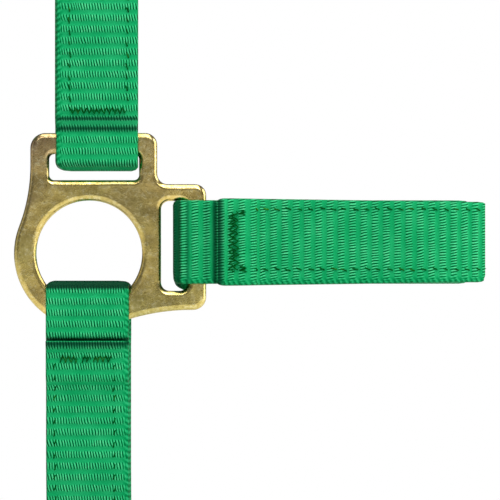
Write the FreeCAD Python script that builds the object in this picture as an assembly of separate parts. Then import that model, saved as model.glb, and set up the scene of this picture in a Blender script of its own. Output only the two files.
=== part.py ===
"""Webbing head halter with plated side plates, in its worn shape. Millimetres.

Nose towards +X, up is +Z, near side at -Y. The origin is midway between the two side plates' round rings.
Every strap is a ribbon: a path of straight runs and bends seen on edge, given a thickness and a width.
"""
import FreeCAD, Part
import math
import os

Vec = FreeCAD.Vector
X_AXIS, Y_AXIS, Z_AXIS = Vec(1, 0, 0), Vec(0, 1, 0), Vec(0, 0, 1)
ORIGIN = Vec(0, 0, 0)

# Driving dimensions
HALF_GAP = 42.0          # head centre plane to the middle of a side plate
WEB_WIDTH = 19.05        # three-quarter inch webbing
WEB_T = 1.5              # one ply
PLY_GAP = 0.05           # between sewn plies
CREEP_GAP = 0.2          # webbing to metal

PLATE_T = 3.0
PLATE_ROUND = 1.3        # rounded edges of the stamping
RING_IN, RING_OUT = 12.3, 17.5
TOP_LEFT, TOP_RIGHT, TOP_Z = -13.7, 15.8, 28.0
FRONT_X, FRONT_TOP, FRONT_BOTTOM = 27.2, 16.1, -13.15
TOP_SLOT = (-9.3, 11.6, 17.05, 23.1, 1.2)       # x from, x to, z from, z to, corner radius
FRONT_SLOT = (16.7, 23.0, -8.7, 12.2, 2.0)

CHEEK_X = 1.9            # centre line of the cheek straps
CHIN_X = -0.35
NOSE_Z = 2.65
NOSE_BEND_X = 73.6       # where the noseband starts to curve across the nose
CHIN_BEND_Z = -45.0
TURN_R = (PLATE_T + WEB_T) / 2 + CREEP_GAP      # a turned end's centre line round the plate
LINE_Q = (WEB_T + PLY_GAP) / 2                  # from the plate's middle to each centre line of a sewn pair
STEP_R = 3.0             # easing bends where plies close up

UPPER_RING_Z = 150.0
WIRE_R = 2.0
UPPER_RING_R = 21.0      # to the wire's centre line
RING_TURN_R = WIRE_R + 0.3 + WEB_T / 2
RING_TURN_S = 18.5       # ring centre to the centre of each strap's turn

LEAD_WIRE_R, LEAD_RING_R = 2.0, 21.0
LEAD_RING_DROP = 15.0    # the strap's inner face to the lead ring's centre

CROWN_TILT = -8.0        # degrees about +Y, from straight up towards the back
CROWN_BEND_S = 118.0     # distances along a strap from its upper ring's centre
HEEL_BAR_S, FRONT_BAR_S = 58.0, 78.0
BUCKLE_WIRE_R = 1.75
BUCKLE_HALF = 13.0
TONGUE_R = 1.1
TAB_END_S = 40.0
STRAP_TIP_S = 33.0
KEEPER_S, KEEPER_LENGTH, KEEPER_T = 43.0, 6.0, 1.2
EYELETS_S = (92.0, 103.0, 114.0)
EYELET_IN, EYELET_OUT, EYELET_FLANGE = 2.2, 4.0, 0.4

THROAT_TILT = -100.0     # degrees about +Y: backwards and a little down
THROAT_BEND_S = 95.0
SNAP_BOLT_Q = 5.0        # the snap's bolt lies this far outside its swivel axis
SNAP_BOLT_R = 1.6
SNAP_EYE_S = 63.0
SNAP_EYE_WIRE_R = 1.9

STITCH_LENGTH, STITCH_W = 1.7, 0.5
STITCH_COUNT = 6


# Paths and ribbons

def step(offset, radius=STEP_R):
    """Two bends that shift a path sideways by offset, left when positive."""
    angle = math.degrees(math.acos(1 - abs(offset) / (2 * radius)))
    turn = math.copysign(angle, offset)
    return [("bend", radius, turn), ("bend", radius, -turn)]


def step_length(offset, radius=STEP_R):
    return 2 * radius * math.sin(math.acos(1 - abs(offset) / (2 * radius)))


def run(length):
    return [("run", length)]


def bend(radius, degrees):
    return [("bend", radius, degrees)]


def heading_vector(degrees):
    return Vec(math.cos(math.radians(degrees)), math.sin(math.radians(degrees)), 0)


def ribbon(start, heading, moves, width=WEB_WIDTH, thickness=WEB_T):
    """A strip whose centre line follows moves in the XY plane, with its width along Z, centred on z = 0."""
    here = Vec(start[0], start[1], 0)
    half = thickness / 2
    left, right = [], []
    first_side = heading_vector(heading + 90) * half
    ends = [here + first_side, here - first_side]
    for move in moves:
        side = heading_vector(heading + 90)
        if move[0] == "run":
            there = here + heading_vector(heading) * move[1]
            left.append(Part.LineSegment(here + side * half, there + side * half).toShape())
            right.append(Part.LineSegment(here - side * half, there - side * half).toShape())
        else:
            radius, turn = move[1], move[2]
            centre = here + side * math.copysign(radius, turn)
            spokes = [heading_vector(heading + turn * part - math.copysign(90, turn)) for part in (0, 0.5, 1)]
            near, far = (left, right) if turn > 0 else (right, left)
            near.append(Part.Arc(*[centre + spoke * (radius - half) for spoke in spokes]).toShape())
            far.append(Part.Arc(*[centre + spoke * (radius + half) for spoke in spokes]).toShape())
            there = centre + spokes[2] * radius
            heading += turn
        here = there
    last_side = heading_vector(heading + 90) * half
    start_cap = Part.LineSegment(ends[1], ends[0]).toShape()
    end_cap = Part.LineSegment(here + last_side, here - last_side).toShape()
    outline = Part.Wire([start_cap] + left + [end_cap] + right[::-1])
    strip = Part.Face(outline).extrude(Vec(0, 0, width))
    return strip.translated(Vec(0, 0, -width / 2))


def upright(shape, x=0.0, z=0.0):
    """Turn a shape drawn as (y, z) with its width along local z into the worn frame, at x and z."""
    turned = shape.copy()
    turned.rotate(ORIGIN, Vec(1, 1, 1), 120)
    return turned.translated(Vec(x, 0, z))


def far_side(shape):
    return shape.mirror(ORIGIN, Y_AXIS)


def box(x, y, z):
    """A box from three (from, to) pairs."""
    corner = Vec(x[0], y[0], z[0])
    return Part.makeBox(x[1] - x[0], y[1] - y[0], z[1] - z[0], corner)


def rod(radius, start, end):
    return Part.makeCylinder(radius, (end - start).Length, start, end - start)


def fused(shapes):
    return shapes[0].multiFuse(shapes[1:]).removeSplitter()


# Side plate, drawn in the XZ plane round its ring's centre

def corner_arc(centre, radius, start_degrees, end_degrees):
    points = []
    for part in (0, 0.5, 1):
        angle = math.radians(start_degrees + (end_degrees - start_degrees) * part)
        points.append(Vec(centre[0] + radius * math.cos(angle), 0, centre[1] + radius * math.sin(angle)))
    return Part.Arc(*points).toShape()


def joined(edges):
    """Close a loop of arcs with straight edges between each arc's end and the next one's start."""
    loop = []
    for number, edge in enumerate(edges):
        following = edges[(number + 1) % len(edges)]
        start, end = edge.Vertexes[-1].Point, following.Vertexes[0].Point
        loop.append(edge)
        if (end - start).Length > 1e-6:
            loop.append(Part.LineSegment(start, end).toShape())
    return Part.Wire(loop)


def slot_wire(x_from, x_to, z_from, z_to, radius):
    left, right, low, high = x_from + radius, x_to - radius, z_from + radius, z_to - radius
    return joined([
        corner_arc((right, low), radius, -90, 0),
        corner_arc((right, high), radius, 0, 90),
        corner_arc((left, high), radius, 90, 180),
        corner_arc((left, low), radius, 180, 270),
    ])


def plate_outline():
    """The ring, the top frame and the front frame in one outline, flowing into each other by hollow arcs."""
    back_r, under_r, inner_r = 40.0, 50.0, 2.5
    top_back_r, top_front_r, front_top_r, front_low_r = 3.5, 2.8, 2.6, 3.0
    back_x = TOP_LEFT - back_r
    back_z = math.sqrt((RING_OUT + back_r) ** 2 - back_x ** 2)
    under_z = FRONT_BOTTOM - under_r
    under_x = math.sqrt((RING_OUT + under_r) ** 2 - under_z ** 2)
    back_angle = math.degrees(math.atan2(back_z, back_x))
    under_angle = math.degrees(math.atan2(under_z, under_x)) + 360
    return joined([
        corner_arc((TOP_LEFT + top_back_r, TOP_Z - top_back_r), top_back_r, 90, 180),
        corner_arc((back_x, back_z), back_r, 0, back_angle - 180),
        corner_arc((0, 0), RING_OUT, back_angle, under_angle),
        corner_arc((under_x, under_z), under_r, under_angle - 180, 90),
        corner_arc((FRONT_X - front_low_r, FRONT_BOTTOM + front_low_r), front_low_r, -90, 0),
        corner_arc((FRONT_X - front_top_r, FRONT_TOP - front_top_r), front_top_r, 0, 90),
        corner_arc((TOP_RIGHT + inner_r, FRONT_TOP + inner_r), inner_r, 270, 180),
        corner_arc((TOP_RIGHT - top_front_r, TOP_Z - top_front_r), top_front_r, 0, 90),
    ])


def side_plate():
    """A stamping with a round ring, a slot for the cheek strap and a slot for the noseband."""
    hole = Part.Wire(Part.Circle(ORIGIN, Y_AXIS, RING_IN).toShape())
    openings = [hole, slot_wire(*TOP_SLOT), slot_wire(*FRONT_SLOT)]
    blank = Part.Face(plate_outline()).extrude(Vec(0, PLATE_T, 0))
    for wire in openings:
        blank = blank.cut(Part.Face(wire).extrude(Vec(0, PLATE_T, 0)))
    rims = []
    for edge in blank.Edges:
        if edge.BoundBox.YLength < 1e-6:
            rims.append(edge)
    plate = blank.makeFillet(PLATE_ROUND, rims)
    return plate.translated(Vec(0, -HALF_GAP - PLATE_T / 2, 0))


# Webbing on the plates. q is the distance outwards from the near plate's middle plane.

TURN_SHIFT = TURN_R - LINE_Q
TURN_STEP = step_length(TURN_SHIFT)
NOSE_TURN_X = 22.6
NOSE_CLEAR_X = FRONT_X + 0.4
NOSE_RETURN_X = 36.0
NOSE_LAP_X = 30.7          # rear end of the noseband's overlay
CHEEK_TURN_Z = 22.3
CHEEK_CLEAR_Z = TOP_Z + 0.3
CHEEK_SEAM_Z = 76.0
CHIN_TURN_Z = -8.6
CHIN_CLEAR_Z = -RING_OUT - 0.5
CHIN_RETURN_Z = -27.3
CHIN_LAP_Z = -20.3         # top end of the chin strap's overlay


def noseband_liner():
    near_half = (run(NOSE_RETURN_X - NOSE_CLEAR_X - TURN_STEP) + step(TURN_SHIFT)
                 + run(NOSE_CLEAR_X - NOSE_TURN_X) + bend(TURN_R, -180) + run(NOSE_CLEAR_X - NOSE_TURN_X)
                 + step(-TURN_SHIFT) + run(NOSE_BEND_X - NOSE_CLEAR_X - TURN_STEP)
                 + bend(HALF_GAP - LINE_Q, 90))
    strip = ribbon((NOSE_RETURN_X, -HALF_GAP - LINE_Q), 180, near_half + near_half[::-1])
    return strip.translated(Vec(0, 0, NOSE_Z))


def noseband_overlay():
    start_q = LINE_Q + WEB_T + 6 * PLY_GAP
    ease_x = NOSE_RETURN_X + 0.3
    drop = start_q - LINE_Q
    near_half = (run(ease_x - NOSE_LAP_X) + step(drop) + run(NOSE_BEND_X - ease_x - step_length(drop))
                 + bend(HALF_GAP + LINE_Q, 90))
    strip = ribbon((NOSE_LAP_X, -HALF_GAP - start_q), 0, near_half + near_half[::-1])
    return strip.translated(Vec(0, 0, NOSE_Z))


def near_cheek_strap():
    """Two plies of one webbing, round the plate's top bar and the upper ring; its ends meet inside."""
    ring_shift = RING_TURN_R - LINE_Q
    ring_turn_z = UPPER_RING_Z - RING_TURN_S
    ring_clear_z = UPPER_RING_Z - UPPER_RING_R - WIRE_R - 0.3
    plate_ease_z = CHEEK_CLEAR_Z + TURN_STEP
    ring_ease_z = ring_clear_z - step_length(ring_shift)
    plate_end = (step(TURN_SHIFT) + run(CHEEK_CLEAR_Z - CHEEK_TURN_Z) + bend(TURN_R, -180)
                 + run(CHEEK_CLEAR_Z - CHEEK_TURN_Z) + step(-TURN_SHIFT))
    ring_end = (step(ring_shift) + run(ring_turn_z - ring_clear_z) + bend(RING_TURN_R, -180)
                + run(ring_turn_z - ring_clear_z) + step(-ring_shift))
    moves = (run(CHEEK_SEAM_Z - plate_ease_z) + plate_end + run(ring_ease_z - plate_ease_z) + ring_end
             + run(ring_ease_z - CHEEK_SEAM_Z - 1.0))
    return upright(ribbon((-HALF_GAP + LINE_Q, CHEEK_SEAM_Z), 270, moves), CHEEK_X)


def chin_strap_liner():
    near_half = (run(CHIN_CLEAR_Z - TURN_STEP - CHIN_RETURN_Z) + step(TURN_SHIFT)
                 + run(CHIN_TURN_Z - CHIN_CLEAR_Z) + bend(TURN_R, -180) + run(CHIN_TURN_Z - CHIN_CLEAR_Z)
                 + step(-TURN_SHIFT) + run(CHIN_CLEAR_Z - TURN_STEP - CHIN_BEND_Z)
                 + bend(HALF_GAP - LINE_Q, 90))
    strip = ribbon((-HALF_GAP - LINE_Q, CHIN_RETURN_Z), 90, near_half + near_half[::-1])
    return upright(strip, CHIN_X)


def chin_strap_overlay():
    mid_q = LINE_Q + WEB_T + 3 * PLY_GAP
    start_q = mid_q + 0.95
    ease_z = CHIN_RETURN_Z - 0.3
    first_drop, last_drop = start_q - mid_q, mid_q - LINE_Q
    level = CHIN_LAP_Z - step_length(first_drop) - ease_z
    below = ease_z - step_length(last_drop) - CHIN_BEND_Z
    near_half = (step(first_drop) + run(level) + step(last_drop) + run(below)
                 + bend(HALF_GAP + LINE_Q, 90))
    strip = ribbon((-HALF_GAP - start_q, CHIN_LAP_Z), 270, near_half + near_half[::-1])
    return upright(strip, CHIN_X)


# Rings

def wire_ring(wire_r, ring_r, centre, axis):
    return Part.makeTorus(ring_r, wire_r, centre, axis)


# Crown, drawn straight up from the near upper ring's centre

RING_SHIFT = RING_TURN_R - LINE_Q
RING_CLEAR_S = UPPER_RING_R + WIRE_R + 0.3
RING_EASE_S = RING_CLEAR_S + step_length(RING_SHIFT)
BAR_TURN_R = BUCKLE_WIRE_R + CREEP_GAP + WEB_T / 2
OVER_TAB_Q = LINE_Q + WEB_T + PLY_GAP * 2
OVER_BAR_Q = BAR_TURN_R + WEB_T + 0.1
UNDER_BAR_Q = -BAR_TURN_R


def far_ring_turn(end_run):
    """The far end of a strap coming down to the far upper ring: out, round the wire and back up inside."""
    return (step(RING_SHIFT) + run(RING_CLEAR_S - RING_TURN_S) + bend(RING_TURN_R, -180)
            + run(RING_CLEAR_S - RING_TURN_S) + step(-RING_SHIFT) + run(end_run))


def crown_buckle_tab():
    shift = BAR_TURN_R - LINE_Q
    ease_s = HEEL_BAR_S - 2.1 - step_length(shift)
    moves = (run(TAB_END_S - RING_EASE_S) + step(RING_SHIFT) + run(RING_CLEAR_S - RING_TURN_S)
             + bend(RING_TURN_R, -180) + run(RING_CLEAR_S - RING_TURN_S) + step(-RING_SHIFT)
             + run(ease_s - RING_EASE_S) + step(shift) + run(2.1) + bend(BAR_TURN_R, -180) + run(2.1)
             + step(-shift) + run(ease_s - TAB_END_S - 1.0))
    tab = upright(ribbon((-HALF_GAP + LINE_Q, TAB_END_S), 270, moves))
    tongue_slot = box((-2.6, 2.6), (-HALF_GAP - 6, -HALF_GAP + 6), (HEEL_BAR_S - 5.0, HEEL_BAR_S + 6))
    return tab.cut(tongue_slot)


def rounded_loop(half_width, low_s, high_s, corner, wire_r):
    """A round wire bent to a rectangle in the XZ plane, at the near side."""
    left, right, low, high = -half_width + corner, half_width - corner, low_s + corner, high_s - corner
    path = joined([
        corner_arc((right, low), corner, -90, 0),
        corner_arc((right, high), corner, 0, 90),
        corner_arc((left, high), corner, 90, 180),
        corner_arc((left, low), corner, 180, 270),
    ])
    profile = Part.Wire(Part.Circle(Vec(right, 0, low_s), X_AXIS, wire_r).toShape())
    return path.makePipeShell([profile], True, True).translated(Vec(0, -HALF_GAP, 0))


def tongue_line():
    """The tongue's centre line: from its heel bar to the tip that rests on the front bar's outer side."""
    bar_q = BUCKLE_WIRE_R + TONGUE_R + 0.05
    reach = FRONT_BAR_S - HEEL_BAR_S
    rise = math.degrees(math.asin(bar_q / reach))
    return rise, reach + 2.0


def crown_buckle_tongue():
    rise, length = tongue_line()
    pivot = Vec(0, -HALF_GAP, HEEL_BAR_S)
    along = Vec(0, -math.sin(math.radians(rise)), math.cos(math.radians(rise)))
    sleeve = Part.makeCylinder(2.9, 4.4, pivot - X_AXIS * 2.2, X_AXIS)
    stem = rod(TONGUE_R, pivot + along * 2.0, pivot + along * length)
    tip = Part.makeSphere(TONGUE_R, pivot + along * length)
    bar = Part.makeCylinder(BUCKLE_WIRE_R + 0.05, 8.0, pivot - X_AXIS * 4.0, X_AXIS)
    return fused([sleeve, stem, tip]).cut(bar)


def crown_strap():
    """From the tip outside the tab, through the buckle, over the head and round the far upper ring."""
    rise_q = OVER_BAR_Q - OVER_TAB_Q
    tab_s = HEEL_BAR_S - 3.1 - step_length(rise_q)
    dive_q, dive_r, dive_s = OVER_BAR_Q - UNDER_BAR_Q, 4.2, HEEL_BAR_S + 2.0
    back_q, back_s = LINE_Q - UNDER_BAR_Q, FRONT_BAR_S + 2.5
    moves = (run(tab_s - STRAP_TIP_S) + step(rise_q) + run(5.1) + step(-dive_q, dive_r)
             + run(back_s - dive_s - step_length(dive_q, dive_r)) + step(back_q)
             + run(CROWN_BEND_S - back_s - step_length(back_q)) + bend(HALF_GAP + LINE_Q, -180)
             + run(CROWN_BEND_S - RING_EASE_S) + far_ring_turn(9.0))
    strap = upright(ribbon((-HALF_GAP - OVER_TAB_Q, STRAP_TIP_S), 90, moves))
    tip_s, full_s, tip_half, full_half = STRAP_TIP_S + 0.5, STRAP_TIP_S + 9.0, 5.5, 9.6
    around_tip = [(-12, 25), (12, 25), (12, full_s), (full_half, full_s), (tip_half, tip_s),
                  (-tip_half, tip_s), (-full_half, full_s), (-12, full_s), (-12, 25)]
    pointed = Part.Face(Part.makePolygon([Vec(x, -HALF_GAP - LINE_Q - WEB_T / 2, s) for x, s in around_tip]))
    strap = strap.cut(pointed.extrude(Y_AXIS * -10))
    rise, _ = tongue_line()
    along = Vec(0, -math.sin(math.radians(rise)), math.cos(math.radians(rise)))
    pivot = Vec(0, -HALF_GAP, HEEL_BAR_S)
    strap = strap.cut(rod(2.3, pivot + along * 4.0, pivot + along * 9.5))
    for s in EYELETS_S:
        strap = strap.cut(Part.makeCylinder(EYELET_IN + 0.3, 6, Vec(0, -HALF_GAP + 3, s), -Y_AXIS))
    return strap


def crown_eyelets():
    """Brass eyelets in the adjusting holes: a barrel and a flange on each face."""
    face = -HALF_GAP - LINE_Q
    rings = []
    for s in EYELETS_S:
        barrel = Part.makeCylinder(EYELET_IN + 0.3, WEB_T, Vec(0, face + WEB_T / 2, s), -Y_AXIS)
        outer = Part.makeCylinder(EYELET_OUT, EYELET_FLANGE, Vec(0, face - WEB_T / 2, s), -Y_AXIS)
        inner = Part.makeCylinder(EYELET_OUT, EYELET_FLANGE, Vec(0, face + WEB_T / 2, s), Y_AXIS)
        hole = Part.makeCylinder(EYELET_IN, 8, Vec(0, face + 4, s), -Y_AXIS)
        rings.append(fused([barrel, outer, inner]).cut(hole))
    return Part.makeCompound(rings)


def crown_keeper():
    """A flat loop round the tab and the strap's free end."""
    inner_q, outer_q = -LINE_Q - WEB_T / 2 - CREEP_GAP, OVER_TAB_Q + WEB_T / 2 + CREEP_GAP
    half = WEB_WIDTH / 2 + 0.35
    span = (KEEPER_S - KEEPER_LENGTH / 2, KEEPER_S + KEEPER_LENGTH / 2)
    outside = box((-half - KEEPER_T, half + KEEPER_T),
                  (-HALF_GAP - outer_q - KEEPER_T, -HALF_GAP - inner_q + KEEPER_T), span)
    inside = box((-half, half), (-HALF_GAP - outer_q, -HALF_GAP - inner_q), (span[0] - 1, span[1] + 1))
    return outside.cut(inside)


# Throat strap and snap, drawn straight up from the near upper ring's centre

def throat_strap():
    turn_r = SNAP_EYE_WIRE_R + CREEP_GAP + WEB_T / 2
    shift = turn_r - LINE_Q
    clear_s = SNAP_EYE_S + SNAP_EYE_WIRE_R + 0.4
    ease_s = clear_s + step_length(shift)
    return_s = ease_s + 8.0
    moves = (run(return_s - ease_s) + step(shift) + run(clear_s - SNAP_EYE_S) + bend(turn_r, -180)
             + run(clear_s - SNAP_EYE_S) + step(-shift) + run(THROAT_BEND_S - ease_s)
             + bend(HALF_GAP + LINE_Q, -180) + run(THROAT_BEND_S - RING_EASE_S) + far_ring_turn(9.0))
    return upright(ribbon((-HALF_GAP + LINE_Q, return_s), 270, moves))


def throat_snap_eye():
    """The swivel: a headed stem turning in the snap's neck, and the loop that the strap is sewn round."""
    axis_at = Vec(0, -HALF_GAP, 0)
    head = rod(2.3, axis_at + Z_AXIS * 45.2, axis_at + Z_AXIS * 47.3)
    stem = rod(1.5, axis_at + Z_AXIS * 46.0, axis_at + Z_AXIS * 55.4)
    loop = rounded_loop(12.4, 55.4, SNAP_EYE_S, 2.8, SNAP_EYE_WIRE_R)
    return fused([head, stem, loop])


def bolt_axis(s):
    return Vec(0, -HALF_GAP - SNAP_BOLT_Q, s)


def throat_snap_body():
    """A cast hook, a barrel for the bolt beside it, and a neck for the swivel."""
    hook_q, hook_r, wire_r, arm_top = -0.5, 5.5, 1.8, 31.0
    start = Vec(-HALF_GAP - hook_q - hook_r, UPPER_RING_R, 0)
    arc = Part.Arc(start, start + Vec(hook_r, -hook_r, 0), start + Vec(2 * hook_r, 0, 0)).toShape()
    arm = Part.LineSegment(start + Vec(2 * hook_r, 0, 0), Vec(start.x + 2 * hook_r, arm_top, 0)).toShape()
    profile = Part.Wire(Part.Circle(start, Y_AXIS, wire_r).toShape())
    hook = upright(Part.Wire([arc, arm]).makePipeShell([profile], True, True))
    barrel = rod(3.5, bolt_axis(28.0), bolt_axis(50.0))
    neck = rod(3.9, Vec(0, -HALF_GAP, 43.0), Vec(0, -HALF_GAP, 52.0))
    web_points = [(7.6, 29.0), (-7.0, 29.0), (-7.0, 44.0), (-2.0, 50.0), (3.5, 50.0), (7.6, 38.0),
                  (7.6, 29.0)]
    web = Part.Face(Part.makePolygon([Vec(0, -HALF_GAP + inward, s) for inward, s in web_points]))
    web = web.extrude(X_AXIS * 4.4).translated(X_AXIS * -2.2)
    body = fused([hook, barrel, neck, web])
    cuts = [
        rod(SNAP_BOLT_R + 0.06, bolt_axis(27.0), bolt_axis(48.5)),
        box((-1.1, 1.1), (-HALF_GAP - SNAP_BOLT_Q - 6, -HALF_GAP - SNAP_BOLT_Q), (32.8, 42.0)),
        rod(2.4, Vec(0, -HALF_GAP, 45.1), Vec(0, -HALF_GAP, 47.4)),
        rod(1.56, Vec(0, -HALF_GAP, 47.0), Vec(0, -HALF_GAP, 53.0)),
    ]
    for cut in cuts:
        body = body.cut(cut)
    return body


def throat_snap_bolt():
    """The sliding bolt that closes the hook, with its thumb stud standing out of the barrel's slot."""
    bolt = rod(SNAP_BOLT_R, bolt_axis(UPPER_RING_R + 0.2), bolt_axis(36.0))
    stud_at = bolt_axis(34.0)
    stud = rod(0.9, stud_at, stud_at - Y_AXIS * 5.0)
    knob = rod(2.0, stud_at - Y_AXIS * 4.4, stud_at - Y_AXIS * 6.2)
    return fused([bolt, stud, knob.makeFillet(0.5, knob.Edges)])


def throat_snap_spring():
    """A coil spring in the barrel that keeps the bolt shut."""
    coil_r, wire_r, length, turns = 1.15, 0.28, 11.6, 7
    helix = Part.makeHelix(length / turns, length, coil_r)
    profile = Part.Wire(Part.Circle(Vec(coil_r, 0, 0), Y_AXIS, wire_r).toShape())
    return Part.Wire(helix).makePipeShell([profile], True, True).translated(bolt_axis(36.4))


# Stitching: rows of short thread stitches that go right through a sewn stack

def stitch_row(length_at, inner_q, outer_q, upright_strap, x_or_z):
    """One row across a near strap, at length_at along it, from inner_q to outer_q."""
    stitches = []
    pitch = (WEB_WIDTH - 3.0) / STITCH_COUNT
    q_span = (-HALF_GAP - outer_q, -HALF_GAP - inner_q)
    for number in range(STITCH_COUNT):
        across = x_or_z + (number - (STITCH_COUNT - 1) / 2) * pitch
        wide = (across - STITCH_LENGTH / 2, across + STITCH_LENGTH / 2)
        thin = (length_at - STITCH_W / 2, length_at + STITCH_W / 2)
        stitches.append(box(wide, q_span, thin) if upright_strap else box(thin, q_span, wide))
    return stitches


OUT = LINE_Q + WEB_T / 2 + 0.15
OUT_THREE = OUT + WEB_T + PLY_GAP * 5


def noseband_stitching():
    near = []
    for x in (32.2, 33.6, 35.0):
        near += stitch_row(x, -OUT, OUT_THREE, False, NOSE_Z)
    near += stitch_row(43.0, -OUT, OUT, False, NOSE_Z)
    return Part.makeCompound(near + [far_side(stitch) for stitch in near])


def cheek_stitching():
    near = []
    for z in (33.0, 34.6, 74.5, 78.5, 116.5, 118.5):
        near += stitch_row(z, -OUT, OUT, True, CHEEK_X)
    return Part.makeCompound(near + [far_side(stitch) for stitch in near])


def chin_stitching():
    near = []
    for z in (-23.2, -24.8, -26.3):
        near += stitch_row(z, -OUT, OUT_THREE, True, CHIN_X)
    near += stitch_row(-33.0, -OUT, OUT, True, CHIN_X)
    return Part.makeCompound(near + [far_side(stitch) for stitch in near])


def crown_stitching():
    near, far = [], []
    for s in (31.5, 33.5, 49.5):
        near += stitch_row(s, -OUT, OUT, True, 0)
    for s in (31.5, 34.0, 36.5):
        far += stitch_row(s, -OUT, OUT, True, 0)
    return Part.makeCompound(near + [far_side(stitch) for stitch in far])


def throat_stitching():
    near, far = [], []
    for s in (72.0, 74.0, 76.0):
        near += stitch_row(s, -OUT, OUT, True, 0)
    for s in (31.5, 34.0, 36.5):
        far += stitch_row(s, -OUT, OUT, True, 0)
    return Part.makeCompound(near + [far_side(stitch) for stitch in far])


# Assembly

def on_upper_rings(shape, tilt):
    """Put a shape drawn straight up from the upper rings' axis in its place, tilted about that axis."""
    placed = shape.copy()
    placed.rotate(ORIGIN, Y_AXIS, tilt)
    return placed.translated(Vec(CHEEK_X, 0, UPPER_RING_Z))


def main():
    lead_z = CHIN_BEND_Z - HALF_GAP + LINE_Q + WEB_T / 2 - LEAD_RING_DROP
    near_plate = side_plate()
    near_cheek = near_cheek_strap()
    near_ring = wire_ring(WIRE_R, UPPER_RING_R, Vec(CHEEK_X, -HALF_GAP, UPPER_RING_Z), Y_AXIS)
    nodes = {
        "near_side_plate": near_plate,
        "far_side_plate": far_side(near_plate),
        "noseband_liner": noseband_liner(),
        "noseband_overlay": noseband_overlay(),
        "noseband_stitching": noseband_stitching(),
        "near_cheek_strap": near_cheek,
        "far_cheek_strap": far_side(near_cheek),
        "cheek_stitching": cheek_stitching(),
        "near_upper_ring": near_ring,
        "far_upper_ring": far_side(near_ring),
        "chin_strap_liner": chin_strap_liner(),
        "chin_strap_overlay": chin_strap_overlay(),
        "chin_stitching": chin_stitching(),
        "lead_ring": wire_ring(LEAD_WIRE_R, LEAD_RING_R, Vec(CHIN_X, 0, lead_z), Y_AXIS),
    }
    crown = {
        "crown_buckle_tab": crown_buckle_tab(),
        "crown_buckle_frame": rounded_loop(BUCKLE_HALF, HEEL_BAR_S, FRONT_BAR_S, 3.2, BUCKLE_WIRE_R),
        "crown_buckle_tongue": crown_buckle_tongue(),
        "crown_strap": crown_strap(),
        "crown_eyelets": crown_eyelets(),
        "crown_keeper": crown_keeper(),
        "crown_stitching": crown_stitching(),
    }
    throat = {
        "throat_strap": throat_strap(),
        "throat_stitching": throat_stitching(),
        "throat_snap_eye": throat_snap_eye(),
        "throat_snap_body": throat_snap_body(),
        "throat_snap_bolt": throat_snap_bolt(),
        "throat_snap_spring": throat_snap_spring(),
    }
    for name, shape in crown.items():
        nodes[name] = on_upper_rings(shape, CROWN_TILT)
    for name, shape in throat.items():
        nodes[name] = on_upper_rings(shape, THROAT_TILT)
    os.makedirs("parts", exist_ok=True)
    for name, shape in nodes.items():
        solids = len(shape.Solids)
        print(f"{name:22} solids {solids:3} valid {shape.isValid()} volume {shape.Volume:9.1f}")
        shape.exportStep(f"parts/{name}.step")


main()
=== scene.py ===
"""Looks of the webbing head halter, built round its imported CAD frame.

The webbing, thread, eyelets, rings and snap spring are detailed pieces. The plates, the buckle and the snap
stay CAD. Pieces are drawn in millimetres and placed in metres. The strap paths repeat the CAD part's driving
dimensions, because this script can't read them.
"""

import math
import random

import bmesh
import bpy
import numpy as np
from mathutils import Matrix, Vector


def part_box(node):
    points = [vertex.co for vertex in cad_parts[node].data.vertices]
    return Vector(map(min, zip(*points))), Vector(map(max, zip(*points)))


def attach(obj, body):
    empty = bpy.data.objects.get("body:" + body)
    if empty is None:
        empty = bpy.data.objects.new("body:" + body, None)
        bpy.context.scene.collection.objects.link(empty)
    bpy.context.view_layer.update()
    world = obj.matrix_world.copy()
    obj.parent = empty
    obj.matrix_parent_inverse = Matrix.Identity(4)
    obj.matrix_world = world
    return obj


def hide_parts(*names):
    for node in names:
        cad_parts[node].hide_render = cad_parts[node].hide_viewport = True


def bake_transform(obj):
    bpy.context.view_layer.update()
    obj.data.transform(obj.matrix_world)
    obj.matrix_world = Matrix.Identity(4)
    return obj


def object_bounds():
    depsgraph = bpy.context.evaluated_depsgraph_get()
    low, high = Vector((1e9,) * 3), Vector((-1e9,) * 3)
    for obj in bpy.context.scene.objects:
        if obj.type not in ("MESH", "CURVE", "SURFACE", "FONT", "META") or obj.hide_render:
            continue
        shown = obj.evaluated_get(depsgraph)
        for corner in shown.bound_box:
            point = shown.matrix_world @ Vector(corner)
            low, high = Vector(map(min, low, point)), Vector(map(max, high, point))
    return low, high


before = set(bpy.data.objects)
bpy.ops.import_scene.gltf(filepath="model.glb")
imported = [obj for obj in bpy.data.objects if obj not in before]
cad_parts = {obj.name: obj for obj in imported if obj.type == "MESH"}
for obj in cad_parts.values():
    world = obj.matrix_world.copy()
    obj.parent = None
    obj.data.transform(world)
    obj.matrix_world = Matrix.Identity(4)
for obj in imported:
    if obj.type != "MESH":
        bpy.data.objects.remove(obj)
cad_low, cad_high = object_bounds()

MM = 0.001

# Dimensions shared with the CAD part, in millimetres
HALF_GAP = 42.0
WEB_WIDTH, WEB_T = 19.05, 1.5
PLY_GAP, CREEP_GAP = 0.05, 0.2
LINE_Q = (WEB_T + PLY_GAP) / 2
TURN_R = (3.0 + WEB_T) / 2 + CREEP_GAP
STEP_R = 3.0
CHEEK_X, CHIN_X, NOSE_Z = 1.9, -0.35, 2.65
UPPER_RING_Z, UPPER_RING_R, WIRE_R = 150.0, 21.0, 2.0
RING_TURN_R, RING_TURN_S = WIRE_R + 0.3 + WEB_T / 2, 18.5
LEAD_RING_R = 21.0
CROWN_TILT, THROAT_TILT = -8.0, -100.0

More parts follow.
